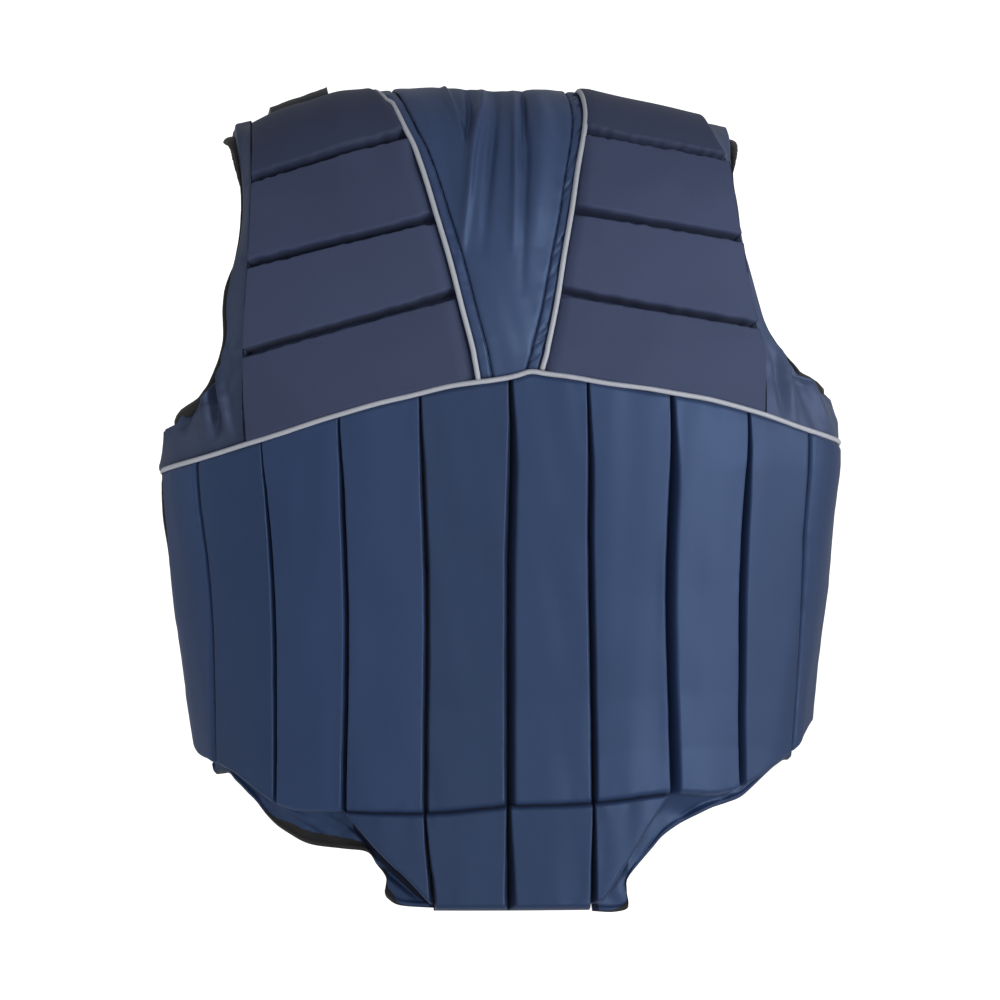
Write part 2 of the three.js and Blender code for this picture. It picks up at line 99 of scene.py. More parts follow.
YOKE = {
    "left": {
        "down": (-0.064, -0.044, -0.034, -0.017, 0.003, 0.020, 0.041, 0.103, 0.159, 0.224, 0.276,
                 0.320, 0.360, 0.400),
        "neck": (0.385, 0.346, 0.322, 0.299, 0.275, 0.253, 0.234, 0.191, 0.157, 0.125, 0.101, 0.087,
                 0.082, 0.082),
        "side": (0.734, 0.734, 0.734, 0.736, 0.736, 0.737, 0.738, 0.747, 0.757, 0.771, 0.780, 0.783,
                 0.780, 0.777),
    },
    "right": {
        "down": (-0.064, -0.040, -0.017, 0.003, 0.020, 0.041, 0.103, 0.159, 0.224, 0.276, 0.310, 0.360,
                 0.400),
        "neck": (0.297, 0.300, 0.297, 0.287, 0.276, 0.262, 0.228, 0.195, 0.161, 0.127, 0.102, 0.092,
                 0.092),
        "side": (0.685, 0.685, 0.693, 0.703, 0.715, 0.734, 0.742, 0.756, 0.772, 0.790, 0.795, 0.784,
                 0.777),
    },
}
ARM = {
    "left": {
        "down": (-0.060, 0.0, 0.030, 0.060, 0.100, 0.146, 0.166, 0.182, 0.205, 0.235, 0.256, 0.274,
                 0.290, 0.306, 0.322, 0.333, 0.340, 0.350, 0.365, 0.380, 0.400),
        "arm": (0.797, 0.796, 0.788, 0.783, 0.790, 0.814, 0.830, 0.841, 0.845, 0.844, 0.851, 0.864,
                0.880, 0.898, 0.919, 0.949, 0.967, 0.974, 0.980, 0.987, 0.995),
    },
    "right": {
        "down": (-0.060, 0.0, 0.030, 0.060, 0.100, 0.150, 0.203, 0.240, 0.258, 0.275, 0.294, 0.316,
                 0.330, 0.337, 0.344, 0.354, 0.400),
        "arm": (0.784, 0.784, 0.776, 0.770, 0.777, 0.785, 0.807, 0.821, 0.828, 0.840, 0.866, 0.896,
                0.918, 0.945, 0.968, 0.982, 0.990),
    },
}
CHEST = {
    "down": (-0.040, 0.003, 0.060, 0.100, 0.150, 0.180, 0.280, 0.350, 0.400),
    "neck": (0.310, 0.310, 0.300, 0.270, 0.170, 0.034, 0.034, 0.034, 0.034),
    "side": (0.715, 0.719, 0.700, 0.680, 0.680, 0.690, 0.740, 0.800, 0.860),
    "arm": (0.823, 0.800, 0.750, 0.735, 0.742, 0.752, 0.810, 0.880, 0.928),
}
YOKE_LINES = {
    "left": {"down": (-0.0125, 0.096, 0.194), "fall": (0.226, 0.190, 0.216)},
    "right": {"down": (-0.0125, 0.0905, 0.194), "fall": (0.188, 0.190, 0.216)},
}
CHEVRON = {
    "left": {
        "out": (0.0, 0.03, 0.10, 0.243, 0.378, 0.513, 0.631, 0.757, 0.888, 1.0),
        "down": (0.3105, 0.3115, 0.3135, 0.3215, 0.3320, 0.3440, 0.3570, 0.3735, 0.3925, 0.4100),
    },
    "right": {
        "out": (0.0, 0.03, 0.072, 0.115, 0.243, 0.378, 0.513, 0.631, 0.757, 0.888, 1.0),
        "down": (0.3105, 0.3085, 0.3045, 0.3080, 0.3185, 0.3310, 0.3430, 0.3550, 0.3720, 0.3960, 0.4180),
    },
}
FEET = {
    "left": {
        "out": (0.0, 0.25, 0.48, 0.68, 0.83, 0.872, 0.900, 0.910),
        "down": (0.862, 0.866, 0.860, 0.850, 0.806, 0.797, 0.787, 0.775),
    },
    "right": {
        "out": (0.0, 0.25, 0.48, 0.68, 0.83, 0.868, 0.891, 0.908),
        "down": (0.862, 0.864, 0.858, 0.858, 0.806, 0.790, 0.773, 0.764),
    },
}
# cloth edge below the bars, from the side to the tail: upper line, under the bars, and lower line
HEM = {
    "left": {
        "row": tuple(range(17)),
        "out": (0.902, 0.895, 0.885, 0.868, 0.845, 0.790, 0.735, 0.680, 0.610, 0.510, 0.450, 0.410,
                0.375, 0.345, 0.315, 0.280, 0.222),
        "down": (0.765, 0.768, 0.774, 0.780, 0.788, 0.808, 0.825, 0.839, 0.846, 0.850, 0.866, 0.886,
                 0.904, 0.920, 0.935, 0.952, 0.980),
        "edge_out": (0.906, 0.897, 0.889, 0.866, 0.843, 0.790, 0.730, 0.675, 0.612, 0.512, 0.437,
                     0.409, 0.378, 0.381, 0.365, 0.329, 0.228),
        "edge_down": (0.812, 0.8205, 0.820, 0.818, 0.827, 0.8465, 0.8734, 0.8883, 0.901, 0.908, 0.9135,
                      0.9311, 0.952, 0.974, 0.9835, 0.990, 0.9925),
        "tape": (2.0, 3.0, 2.0, 1.0, 0.8, 1.5, 4.5, 8.5, 9.0, 8.0, 5.5, 1.0, 4.5, 6.0, 5.0, 1.0, 0.8),
    },
    "right": {
        "row": tuple(range(17)),
        "out": (0.902, 0.895, 0.880, 0.845, 0.795, 0.745, 0.705, 0.655, 0.580, 0.500, 0.462, 0.430,
                0.398, 0.372, 0.345, 0.310, 0.256),
        "down": (0.757, 0.762, 0.768, 0.786, 0.804, 0.822, 0.838, 0.848, 0.850, 0.850, 0.866, 0.884,
                 0.902, 0.918, 0.935, 0.955, 0.978),
        "edge_out": (0.905, 0.897, 0.879, 0.838, 0.786, 0.735, 0.692, 0.639, 0.571, 0.494, 0.450,
                     0.411, 0.370, 0.368, 0.371, 0.325, 0.262),
        "edge_down": (0.806, 0.8125, 0.8137, 0.825, 0.8455, 0.8654, 0.8745, 0.882, 0.8928, 0.9093,
                      0.926, 0.942, 0.9606, 0.979, 0.9946, 0.9993, 0.9976),
        "tape": (2.5, 2.5, 1.0, 0.5, 0.5, 0.5, 0.5, 0.5, 0.5, 0.5, 0.5, 0.5, 2.0, 4.5, 5.0, 1.5, 0.8),
    },
}
# the V panel's upper edge: the angle over the shoulder
V_TOP = {"across": (0, 0.2, 0.5, 0.72, 0.9, 1), "turn": (1.46, 1.38, 1.23, 1.26, 1.38, 1.44)}
# the gussets' height at the armhole edge, from the chevron over the shoulder
GUSSET_HIGH = {
    "along": (0, 0.06, 0.14, 0.22, 0.36, 0.44, 0.52, 0.8, 1),
    "high": (16, 15, 9.5, 6, 6, 11, 15, 9, 6),
}
# the shoulder fastenings: inner and outer edge, the angle over the shoulder where they start, and the
# lift of the two edges
TABS = {"left": (0.478, 0.668, 1.50, (5.4, -0.7)), "right": (0.54, 0.70, 1.86, (1.0, -2.0))}
# the armhole tape: half the breadth that shows, how far off the surface, and whether it lies in the
# outline
BINDING = {
    "down": (-0.06, -0.03, -0.005, 0.015, 0.045, 0.15, 0.175, 0.25, 0.290, 0.315, 0.328, 0.335, 0.352,
             0.360, 0.41),
    "left": (4.0, 5.0, 4.6, 1.6, 0.7, 0.8, 1.9, 1.9, 2.2, 3.0, 3.8, 4.4, 4.4, 1.2, 1.0),
    "right": (1.6, 2.6, 3.8, 2.6, 0.7, 0.6, 0.7, 0.8, 0.9, 0.9, 2.4, 4.4, 3.6, 1.2, 1.0),
    "lift": (4.0, 4.0, 5.0, 4.0, 2.5, 2.5, 5.5, 8.5, 12.0, 13.5, 13.0, 12.0, 12.0, 5.0, 2.0),
    "inset": (0, 0, 0, 0, 0, 0.4, 1, 1, 1, 1, 1, 1, 1, 1, 1),
}
# the slopes beside each seam of the back, from the left side to the right: breadths left and right of it
SLOPES = {
    "seam": (0, 1, 2, 3, 4, 5, 6, 7, 8, 9, 10),
    "left": (3.0, 2.6, 2.2, 2.4, 2.4, 3.4, 3.0, 3.4, 3.0, 3.0, 3.0),
    "right": (3.0, 1.6, 2.2, 2.8, 3.4, 5.8, 3.4, 5.6, 4.0, 2.0, 3.0),
}
# folds: breadth and height (below 0 is a valley), then the line they follow, in millimetres across and up
V_FOLDS = (
    (1.7, 3.4, (-46, 34), (-40, 18), (-34, 4), (-29, -10)),
    (3.0, 4.2, (-13, 38), (-16, 12), (-23, -14), (-27, -48), (-33, -92)),
    (2.6, 2.8, (7, 34), (6, 0), (5, -36), (3, -84)),
    (9.0, 4.0, (24, 38), (24, 0), (21, -40), (17, -80)),
    (2.2, -2.4, (-27, 26), (-25, 8), (-28, -14)),
    (3.4, -2.6, (-4, 34), (-8, 0), (-13, -40), (-17, -84)),
    (1.8, -2.6, (14, 34), (13, 8), (12, -14)),
    (2.8, -1.8, (15, 10), (13, -30), (9, -110)),
    (16.0, 1.2, (-10, -80), (-9, -120), (-8, -150)),
    (6.0, -1.8, (-48, 4), (-40, -26), (-34, -70)),
)
GUSSET_FOLDS = {
    "left": (
        (2.6, 5.9, (-197, -156), (-197, -176), (-200, -208)),
        (2.6, -5.9, (-201, -158), (-205, -176), (-214, -204)),
        (3.2, 6.4, (-204, -160), (-214, -184), (-231, -214)),
        (2.4, 4.8, (-194, -154), (-188, -176), (-184, -208)),
        (2.2, -5.0, (-195, -158), (-192, -180), (-193, -208)),
        (4.0, -4.2, (-214, -172), (-228, -194), (-240, -206)),
        (2.2, 2.8, (-196, -126), (-190, -146), (-184, -160)),
    ),
    "right": (
        (2.6, 4.2, (184, -134), (187, -152), (192, -176), (196, -204)),
        (2.6, -3.9, (180, -146), (184, -168), (189, -198)),
        (3.4, 4.5, (193, -148), (206, -174), (222, -208)),
        (3.0, -3.9, (190, -150), (199, -172), (211, -206)),
        (3.0, -3.4, (203, -158), (218, -180), (234, -202)),
    ),
}
HEM_FOLDS = {
    "left": (
        (1.8, -1.4, (-194, -434), (-176, -450), (-156, -466)),
        (2.4, 1.8, (-156, -460), (-138, -470), (-112, -484)),
        (2.2, -1.6, (-146, -468), (-130, -480), (-106, -494)),
        (2.0, 1.6, (-132, -464), (-116, -472), (-98, -484)),
        (2.6, -2.2, (-116, -474), (-104, -478), (-88, -492)),
        (2.2, -2.6, (-96, -494), (-80, -508), (-58, -526)),
        (1.8, 1.6, (-96, -506), (-84, -518), (-72, -532)),
    ),
    "right": (
        (1.8, -1.3, (172, -440), (160, -452), (146, -464)),
        (2.2, 1.4, (152, -458), (138, -464), (122, -474)),
        (1.8, -1.3, (136, -460), (126, -468), (112, -482)),
        (1.8, 1.3, (120, -474), (106, -492), (92, -512)),
        (1.6, -1.6, (106, -482), (94, -498), (80, -520)),
    ),
}


# The worn surface. All of these take whole arrays of places.
def mix(a, b, t):
    return a + (b - a) * t


def ease(a, b, v):
    t = np.clip((v - a) / (b - a), 0, 1)
    return t * t * (3 - 2 * t)


def look(table, key, at, by="down"):
    return np.interp(at, table[by], table[key])


def flow(table, key, at, by="down"):
    """As look, with a smooth line through the rows."""
    t, y = np.array(table[by], float), np.array(table[key], float)
    at = np.clip(at, t[0], t[-1])
    slope = np.gradient(y, t)
    i = np.clip(np.searchsorted(t, at, side="right") - 1, 0, len(t) - 2)
    step = t[i + 1] - t[i]
    q = (at - t[i]) / step
    return ((1 + 2 * q) * (1 - q) ** 2 * y[i] + q * (1 - q) ** 2 * step * slope[i]
            + q * q * (3 - 2 * q) * y[i + 1] + q * q * (q - 1) * step * slope[i + 1])


def section(key, z):
    return look(SECTIONS, key, -z / HEIGHT)


def depth(front, z):
    return np.where(front, FRONT_DEPTH * section("front", z), BACK_DEPTH * section("back", z))


def crest_at(x):
    """Height of the shoulders' crest."""
    return CREST - np.maximum(0, np.abs(x) - NECK_HALF) * CREST_FALL


def settle(x, y, z):
    """From the straight form to the form as it is worn."""
    up = ease(-0.44 * HEIGHT, -0.20 * HEIGHT, z)
    turn, out = TURN * up, np.abs(x) / HALF_WIDTH
    foot = ease(0.62, 0.88, out) * ease(-0.70 * HEIGHT, -0.78 * HEIGHT, z)
    lift = TILT * ease(10, -60, z) * ease(-0.99 * HEIGHT, -0.90 * HEIGHT, z)
    lift = lift * (1 - np.where(x < 0, 0.5, 1) * foot)
    corner = ease(0.7, 0.95, out) * ease(-0.30 * HEIGHT, -0.38 * HEIGHT, z)
    corner = corner * ease(-0.66 * HEIGHT, -0.42 * HEIGHT, z)
    shift = mix(WAIST_SHIFT, SHIFT, up) + LEAN * np.maximum(0, z + 0.28 * HEIGHT)
    shift = shift + np.where(x < 0, -FLARE_LEFT, FLARE_RIGHT) * corner
    return np.stack([x * np.cos(turn) - y * np.sin(turn) + shift,
                     x * np.sin(turn) + y * np.cos(turn), z + lift * x], -1)


def polar(t, power):
    return (np.abs(np.cos(t)) ** power + np.abs(np.sin(t)) ** power) ** (-1 / power)


def trunk(t, z):
    """Round the trunk: t is the angle from the middle of the back, z the height."""
    r = polar(t, PLAN)
    c = r * np.cos(t)
    x = out_at(t, z)
    w = np.clip((z - ROLL_BASE) / (crest_at(x) - ROLL_BASE), 0, 1)
    return settle(x, -depth(c < 0, z) * c * (1 - w ** ROLL) ** (1 / ROLL), z)


def over(x, a):
    """Over a shoulder: x outward, a the angle from low on the back (0) over the crest to the chest (pi)."""
    g, z = polar(a, ROLL) * np.cos(a), height_at(x, a)
    share = np.minimum(0.9995, np.abs(x) / (HALF_WIDTH * section("wide", z)))
    return settle(x, -depth(g < 0, z) * (1 - share ** PLAN) ** (1 / PLAN) * g, z)


def height_at(x, a):
    return ROLL_BASE + polar(a, ROLL) * np.sin(a) * (crest_at(x) - ROLL_BASE)


def out_at(t, z):
    return HALF_WIDTH * section("wide", z) * polar(t, PLAN) * np.sin(t)


def angle_out(x, z):
    s = np.minimum(0.9995, np.abs(x) / (HALF_WIDTH * section("wide", z)))
    return np.sign(x) * np.arctan2(s, (1 - s ** PLAN) ** (1 / PLAN))


def angle_over(x, z):
    w = np.clip((z - ROLL_BASE) / (crest_at(x) - ROLL_BASE), 0, 1)
    return np.arctan2(w, (1 - w ** ROLL) ** (1 / ROLL))


def spot(face, p, q):
    """Points and outward normals of the surface."""
    p, q = np.broadcast_arrays(np.asarray(p, float), np.asarray(q, float))
    ep, eq = (0.004, 0.6) if face is trunk else (0.6, 0.004)
    n = np.cross(face(p + ep, q) - face(p - ep, q), face(p, q + eq) - face(p, q - eq))
    return face(p, q), n / np.linalg.norm(n, axis=-1, keepdims=True)


def seam_angle(word, i, z):
    """Angle of the i-th seam of the back, out from the middle; the last is the outer edge."""
    if i < len(SEAM_LINES):
        return angle_out(HALF_WIDTH * flow(SEAMS[word], SEAM_LINES[i], -z / HEIGHT), z)
    if word == "left":           # the mesh side shows past the upper part of the last bar
        return SIDE_END - 0.14 * ease(-0.66 * HEIGHT, -0.44 * HEIGHT, z)
    return np.full_like(z, SIDE_END)


def on_line(table, x):
    return -HEIGHT * flow(table, "down", np.abs(x) / HALF_WIDTH, by="out")


def yoke_line(word, i, x):
    lines = YOKE_LINES[word]
    return -HEIGHT * lines["down"][i] - lines["fall"][i] * np.abs(x)


def edge_over(word, key, a):
    """Distance out of an upper edge, at an angle over the shoulder."""
    x = np.full_like(a, HALF_WIDTH * 0.5)
    for _ in range(5):
        down = -height_at(x, a) / HEIGHT
        behind = flow((ARM if key == "arm" else YOKE)[word], key, down)
        x = HALF_WIDTH * mix(behind, look(CHEST, key, down), ease(1.52, 1.64, a))
    return x


def folds(rows, point):
    """Height of the listed folds at points of the worn surface, seen level from behind."""
    x, z, total = point[..., 0], point[..., 2], 0
    for wide, high, *line in rows:
        line = {"at": range(len(line)), "x": [q[0] for q in line], "z": [q[1] for q in line]}
        at = np.linspace(0, len(line["x"]) - 1, 19)
        px, pz = flow(line, "x", at, by="at"), flow(line, "z", at, by="at")
        near, along = np.full_like(x, 1e9), np.zeros_like(x)
        for i in range(18):
            dx, dz = px[i + 1] - px[i], pz[i + 1] - pz[i]
            t = np.clip(((x - px[i]) * dx + (z - pz[i]) * dz) / (dx * dx + dz * dz), 0, 1)
            off = np.hypot(x - px[i] - t * dx, z - pz[i] - t * dz)
            along = np.where(off < near, (i + t) / 18, along)
            near = np.minimum(near, off)
        taper = np.clip(np.sin(math.pi * (0.03 + 0.94 * along)), 0, 1)
        total = total + high * taper * np.exp(-(near / wide) ** 2)
    return total


def lap_top(x):
    return math.pi - angle_over(x, -FRONT_LAP * HEIGHT)


# Materials.
def shade(name, colour, rough, weave, tint=0.75, sheen=0.2, bump=0.25, crease=0.0, specular=0.5,
          metallic=0.0, gloss=(1, 1, 1)):
    """Woven cloth: crossed threads, slow changes of colour and shine, and small creases. tint: how dark the
    darkest parts are; gloss: the colour of the shine."""
    m = bpy.data.materials.new(name)
    m.use_nodes = True
    nodes, links = m.node_tree.nodes, m.node_tree.links
    p = nodes["Principled BSDF"]
    where = nodes.new("ShaderNodeTexCoord")

    def texture(kind, scale, **values):
        t = nodes.new(kind)
        t.inputs["Scale"].default_value = scale
        for key, value in values.items():
            t.inputs[key].default_value = value
        links.new(where.outputs["Object"], t.inputs["Vector"])
        return t

    def math_node(what, a, b):
        n = nodes.new("ShaderNodeMath")
        n.operation = what
        for i, v in enumerate((a, b)):
            if isinstance(v, (int, float)):
                n.inputs[i].default_value = v
            else:
                links.new(v, n.inputs[i])
        return n.outputs[0]

    cloudy = texture("ShaderNodeTexNoise", 14, Detail=4, Roughness=0.6)
    fine = texture("ShaderNodeTexNoise", 420, Detail=2)
    ramp = nodes.new("ShaderNodeValToRGB")
    dark = [c * tint for c in colour]
    low, high = ramp.color_ramp.elements
    low.position, high.position = 0.3, 0.72
    low.color, high.color = (*dark, 1), (*colour, 1)
    links.new(math_node("ADD", math_node("MULTIPLY", cloudy.outputs["Fac"], 0.75),
                        math_node("MULTIPLY", fine.outputs["Fac"], 0.25)), ramp.inputs["Fac"])
    links.new(ramp.outputs["Color"], p.inputs["Base Color"])
    spread = nodes.new("ShaderNodeMapRange")
    spread.inputs["To Min"].default_value = rough - 0.06
    spread.inputs["To Max"].default_value = rough + 0.08
    links.new(cloudy.outputs["Fac"], spread.inputs["Value"])
    links.new(spread.outputs["Result"], p.inputs["Roughness"])

    warp = texture("ShaderNodeTexWave", weave, Distortion=0.6, Detail=1)
    warp.bands_direction = "X"
    weft = texture("ShaderNodeTexWave", weave, Distortion=0.6, Detail=1)
    weft.bands_direction = "Z"
    threads = math_node("MULTIPLY", warp.outputs["Fac"], weft.outputs["Fac"])
    height = math_node("ADD", math_node("MULTIPLY", threads, 0.5),
                       math_node("MULTIPLY", fine.outputs["Fac"], 0.5))
    b1 = nodes.new("ShaderNodeBump")
    b1.inputs["Strength"].default_value, b1.inputs["Distance"].default_value = bump, 0.0004
    links.new(height, b1.inputs["Height"])
    normal = b1.outputs["Normal"]
    if crease:
        creases = texture("ShaderNodeTexNoise", 55, Detail=3, Distortion=0.6)
        b2 = nodes.new("ShaderNodeBump")
        b2.inputs["Strength"].default_value, b2.inputs["Distance"].default_value = crease, 0.003
        links.new(creases.outputs["Fac"], b2.inputs["Height"])
        links.new(normal, b2.inputs["Normal"])
        normal = b2.outputs["Normal"]
    links.new(normal, p.inputs["Normal"])
    p.inputs["Sheen Weight"].default_value = sheen
    p.inputs["Sheen Roughness"].default_value = 0.4
    p.inputs["Specular IOR Level"].default_value = specular
    p.inputs["Specular Tint"].default_value = (*gloss, 1)
    p.inputs["Metallic"].default_value = metallic
    return m


def mesh_cloth(name, colour, holes=450):
    """Knitted mesh: dark round holes between threads."""
    m = shade(name, colour, 0.75, 1100, tint=0.6, sheen=0.1, bump=0.3)
    nodes, links = m.node_tree.nodes, m.node_tree.links
    cell = nodes.new("ShaderNodeTexVoronoi")
    cell.inputs["Scale"].default_value = holes
    cell.inputs["Randomness"].default_value = 0.25
    where = nodes.new("ShaderNodeTexCoord")
    links.new(where.outputs["Object"], cell.inputs["Vector"])
    ramp = nodes.new("ShaderNodeValToRGB")
    hole, thread = ramp.color_ramp.elements
    hole.position, thread.position = 0.22, 0.42
    hole.color, thread.color = (*[c * 0.25 for c in colour], 1), (*[c * 1.5 for c in colour], 1)
    links.new(cell.outputs["Distance"], ramp.inputs["Fac"])
    links.new(ramp.outputs["Color"], nodes["Principled BSDF"].inputs["Base Color"])
    return m


SATIN_BLUE, MATTE_BLUE, SHINY_BLUE = (0.023, 0.043, 0.109), (0.043, 0.058, 0.119), (0.047, 0.066, 0.125)
# painted light: how much lighter or darker each bar's copy of the satin is made, for the light and sheen it
# catches: the ten of the back, then the four of the tail
PAINTED_BAR_LIGHT = (1.12, 0.97, 1.12, 1.06, 0.84, 1.04, 1.10, 1.12, 0.97, 1.02, 0.92, 0.86, 0.88, 0.94)
# painted light: how much lighter or darker each yoke bar's copy of the matte cloth is made, for how the bar
# faces the light, from the crest down on each side
PAINTED_YOKE_LIGHT = {"left": (0.82, 1.06, 1.12, 0.98), "right": (0.88, 1.16, 1.18, 1.12)}
# painted light: the left gusset's shiny cloth made darker and the right one's lighter, for the light each
# side catches
PAINTED_GUSSET_LIGHT = {"left": 0.86, "right": 1.34}


# a copy of a colour made lighter or darker by its painted light
def with_painted_light(colour, painted_lightness):
    return [c * painted_lightness for c in colour]


def satin(number):
    """The satin of a back or tail bar, with that bar's painted light, or of no bar for 0."""
    colour = with_painted_light(SATIN_BLUE, PAINTED_BAR_LIGHT[number - 1] if number else 1)
    return shade(f"satin_{number}", colour, 0.42, 900, tint=0.88, sheen=0.04, bump=0.12, specular=0.8,
                 gloss=(0.42, 0.60, 1.0))


def matte(word, k):
    """The matte cloth of a yoke bar, with that bar's painted light, or of no bar for an empty word."""
    colour = with_painted_light(MATTE_BLUE, PAINTED_YOKE_LIGHT[word][k] if word else 1)
    return shade(f"matte_{word}_{k + 1}", colour, 0.66, 800, tint=0.86, sheen=0.06, bump=0.25, specular=0.5,
                 gloss=(0.7, 0.75, 1.0))


# the shiny cloth of a gusset, with that side's painted light
def shiny(word):
    return shade(f"shiny_{word}", with_painted_light(SHINY_BLUE, PAINTED_GUSSET_LIGHT[word]), 0.42, 1000, tint=0.8, sheen=0.05,
                 bump=0.12, crease=0.05, specular=0.6, gloss=(0.5, 0.62, 1.0))


SATIN = satin(0)
# painted shade: a near-black blue laid on the cloth along seams and stitch lines and beside the tail bars'
# slanting edges, where shade falls
SHADOW = shade("seam", (0.010, 0.016, 0.038), 0.8, 900, tint=0.7, sheen=0.0, bump=0.2, specular=0.2)
MATTE = matte("", 0)
TAFFETA = shade("taffeta", (0.040, 0.065, 0.153), 0.42, 1000, tint=0.85, sheen=0.05, bump=0.12, crease=0.05,
                specular=0.9, gloss=(0.45, 0.65, 1.0))
SHINY = {word: shiny(word) for word in ("left", "right")}
GREY = shade("reflective", (0.53, 0.555, 0.62), 0.42, 700, tint=0.85, sheen=0.05, bump=0.3, metallic=0.1)
TAPE = shade("tape", (0.018, 0.018, 0.020), 0.75, 420, tint=0.6, sheen=0.2, bump=0.9)
HOOK = shade("hook", (0.100, 0.106, 0.118), 0.8, 600, tint=0.6, sheen=0.4, bump=1.0)
MESH = mesh_cloth("mesh", (0.016, 0.016, 0.019))
PLASTIC = shade("zip", (0.015, 0.015, 0.018), 0.35, 500, tint=0.8, sheen=0.0, bump=0.4)


# Meshes.
def put(name, vertices, faces, materials, slots=None, stands_for=None):
    mesh = bpy.data.meshes.new(name)
    mesh.from_pydata((vertices * MM).tolist(), [], faces)
    for m in materials:
        mesh.materials.append(m)
    if slots is not None:
        mesh.polygons.foreach_set("material_index", slots)
    mesh.polygons.foreach_set("use_smooth", [True] * len(mesh.polygons))
    mesh.update()
    piece = bpy.data.objects.new(name, mesh)
    bpy.context.scene.collection.objects.link(piece)
    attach(piece, "root")
    if stands_for:
        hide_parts(stands_for)
    return piece


def stations(count, crowd):
    """Stations from 0 to 1, closer together towards both ends."""
    t = np.linspace(0, 1, count + 1)
    return t - crowd * np.sin(2 * math.pi * t) / (2 * math.pi)


def quilt(name, at, high, cloth, counts, inside=None, crowd=0.6, paint=(), base=0.0):
    """A closed panel on the worn surface. at(u, v) gives points and normals, and high(u, v, d, point) the
    height in millimetres, where d holds the distances to the four edges. paint: other materials for the
    outer face, each with the function that says where it goes."""
    u, v = np.meshgrid(stations(counts[0], crowd), stations(counts[1], crowd))
    point, normal = at(u, v)
    steps = [np.linalg.norm(np.diff(point, axis=axis), axis=-1) for axis in (1, 0)]
    near = np.concatenate([np.zeros((len(v), 1)), np.cumsum(steps[0], 1)], 1)
    foot = np.concatenate([np.zeros((1, u.shape[1])), np.cumsum(steps[1], 0)], 0)
    d = {"near": near, "far": near[:, -1:] - near, "foot": foot, "top": foot[-1:] - foot}
    outer = point + normal * high(u, v, d, point)[..., None]
    rows, cols = u.shape
    vertices = np.concatenate([outer.reshape(-1, 3), (point + normal * base).reshape(-1, 3)])
    i, j = np.meshgrid(np.arange(cols - 1), np.arange(rows - 1))
    a, n = (j * cols + i).ravel(), rows * cols
    front = np.stack([a, a + 1, a + cols + 1, a + cols], 1)
    rim = np.concatenate([np.arange(cols), cols - 1 + cols * np.arange(1, rows),
                          n - 2 - np.arange(cols - 1), cols * np.arange(rows - 2, 0, -1)])
    follow = np.roll(rim, -1)
    sides = np.stack([rim + n, follow + n, follow, rim], 1)
    faces = np.concatenate([front, front[:, ::-1] + n, sides])
    mid = (rows // 2, cols // 2)
    turned = np.cross(point[mid[0], mid[1] + 1] - point[mid], point[mid[0] + 1, mid[1]] - point[mid])
    if np.dot(turned, normal[mid]) < 0:
        faces = faces[:, ::-1]
    slots = np.zeros(len(faces), int)
    slots[len(front):2 * len(front)] = 1
    materials = [cloth, inside or MESH]
    for other, where in paint:
        materials.append(other)
        slots[:len(front)][where(u, v, d, point)[:-1, :-1].ravel()] = len(materials) - 1
    return put(name, vertices, faces.tolist(), materials, slots.tolist(), stands_for=name)


def rise(d, width, edge=0.3):
    """A rounded flank: from edge at the seam to 1 at width in from it."""
    t = np.clip(d / width, 0, 1)
    return edge + (1 - edge) * np.sqrt(1 - (1 - t) ** 2)


def trench(d, gap, wide, low=0.12):
    """A steep flank: low within gap of the seam, then up to 1 over the given width."""
    return low + (1 - low) * ease(gap, gap + wide, d) ** 0.8


def ripple(p, q, seed, size):
    """Smooth unrepeating waves of about one unit, size millimetres long."""
    rng = np.random.default_rng(seed)
    total = 0
    for _ in range(7):
        turn, wave = rng.uniform(0, 2 * math.pi), size * rng.uniform(0.6, 1.7)
        k = 2 * math.pi / wave
        total = total + np.sin(k * (p * math.cos(turn) + q * math.sin(turn)) + rng.uniform(0, 2 * math.pi))
    return total / 3.0


def tube(name, centre, normal, wide, tall, cloth, closed=False, sides=12):
    """A cord or tape along points, wide across the surface and tall off it."""
    n = len(centre)
    ahead = np.roll(centre, -1, 0) - np.roll(centre, 1, 0)
    if not closed:
        ahead[0], ahead[-1] = centre[1] - centre[0], centre[-1] - centre[-2]
    ahead /= np.linalg.norm(ahead, axis=1, keepdims=True)
    out = normal - ahead * (normal * ahead).sum(1, keepdims=True)
    out /= np.linalg.norm(out, axis=1, keepdims=True)
    side = np.cross(out, ahead)
    a = 2 * math.pi * np.arange(sides) / sides
    wide, tall = np.broadcast_to(wide, n), np.broadcast_to(tall, n)
    ring = (centre[:, None] + side[:, None] * np.cos(a)[None, :, None] * wide[:, None, None]
            + out[:, None] * np.sin(a)[None, :, None] * tall[:, None, None])
    i, k = np.meshgrid(np.arange(n if closed else n - 1), np.arange(sides), indexing="ij")
    i, k, j, m = i.ravel(), k.ravel(), (i.ravel() + 1) % n, (k.ravel() + 1) % sides
    faces = np.stack([i * sides + k, i * sides + m, j * sides + m, j * sides + k], 1).tolist()
    if not closed:
        faces.append(list(range(sides - 1, -1, -1)))
        faces.append([(n - 1) * sides + s for s in range(sides)])
    return put(name, ring.reshape(-1, 3), faces, [cloth], stands_for=name)


# The pieces. On each, u runs from the inner edge (0) to the outer edge (1), and v from the foot (0) to the
# top (1).
BAR_END = 4.0                # a bar's rounded foot and top reach this far in
SHALLOW = 0.4                # a seam that leaves more of the foam's height is a plain rounded edge
